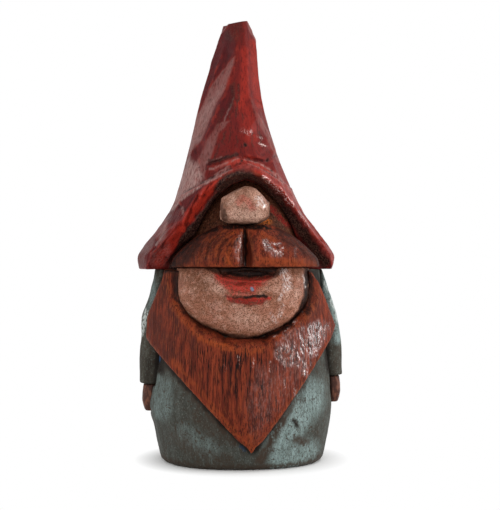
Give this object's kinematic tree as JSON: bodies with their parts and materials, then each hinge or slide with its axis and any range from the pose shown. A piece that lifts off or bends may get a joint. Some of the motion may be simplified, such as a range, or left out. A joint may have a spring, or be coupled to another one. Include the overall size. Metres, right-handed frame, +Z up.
{
  "type": "dwarf figurine",
  "caption": "Standing carved wooden dwarf with a tall pointed hat, ball nose, wide moustache and a beard to a point, painted and waxed, on a flat base.",
  "frame": {"origin": "centre of the base, on the surface it stands on", "axes": "+Z up along the figure, -Y out of the face, +X towards the dwarf's own left, which is on the right of a front view"},
  "size_m": [0.0847, 0.0776, 0.18],
  "materials": {
    "robe_block": "matt blue-grey oil paint, rubbed through to brown",
    "left_sleeve": "matt blue-grey oil paint with brown wash",
    "right_sleeve": "matt blue-grey oil paint with brown wash",
    "left_hand": "brown-stained flesh paint",
    "right_hand": "brown-stained flesh paint",
    "beard": "red-brown stain under varnish, open pores",
    "moustache": "red-brown stain under varnish, open pores",
    "face": "flesh paint with brown antiquing wash, red lips",
    "nose": "flesh paint with brown antiquing wash",
    "head_block": "dark brown wash",
    "hat": "red glaze with semi-gloss varnish",
    "neck_dowel": "bare turned beech",
    "hat_dowel": "bare turned beech",
    "face_dowel": "bare turned beech",
    "nose_dowel": "bare turned beech",
    "moustache_dowel_left": "bare turned beech",
    "moustache_dowel_right": "bare turned beech",
    "beard_dowel_left": "bare turned beech",
    "beard_dowel_right": "bare turned beech",
    "shoulder_dowel_left": "bare turned beech",
    "shoulder_dowel_right": "bare turned beech",
    "wrist_pin_left": "bare turned beech",
    "wrist_pin_right": "bare turned beech"
  },
  "bodies": {
    "root": {"robe_block": "robe_block", "left_sleeve": "left_sleeve", "right_sleeve": "right_sleeve", "left_hand": "left_hand", "right_hand": "right_hand", "beard": "beard", "moustache": "moustache", "face": "face", "nose": "nose", "head_block": "head_block", "hat": "hat", "neck_dowel": "neck_dowel", "hat_dowel": "hat_dowel", "face_dowel": "face_dowel", "nose_dowel": "nose_dowel", "moustache_dowel_left": "moustache_dowel_left", "moustache_dowel_right": "moustache_dowel_right", "beard_dowel_left": "beard_dowel_left", "beard_dowel_right": "beard_dowel_right", "shoulder_dowel_left": "shoulder_dowel_left", "shoulder_dowel_right": "shoulder_dowel_right", "wrist_pin_left": "wrist_pin_left", "wrist_pin_right": "wrist_pin_right"}
  },
  "joints": []
}
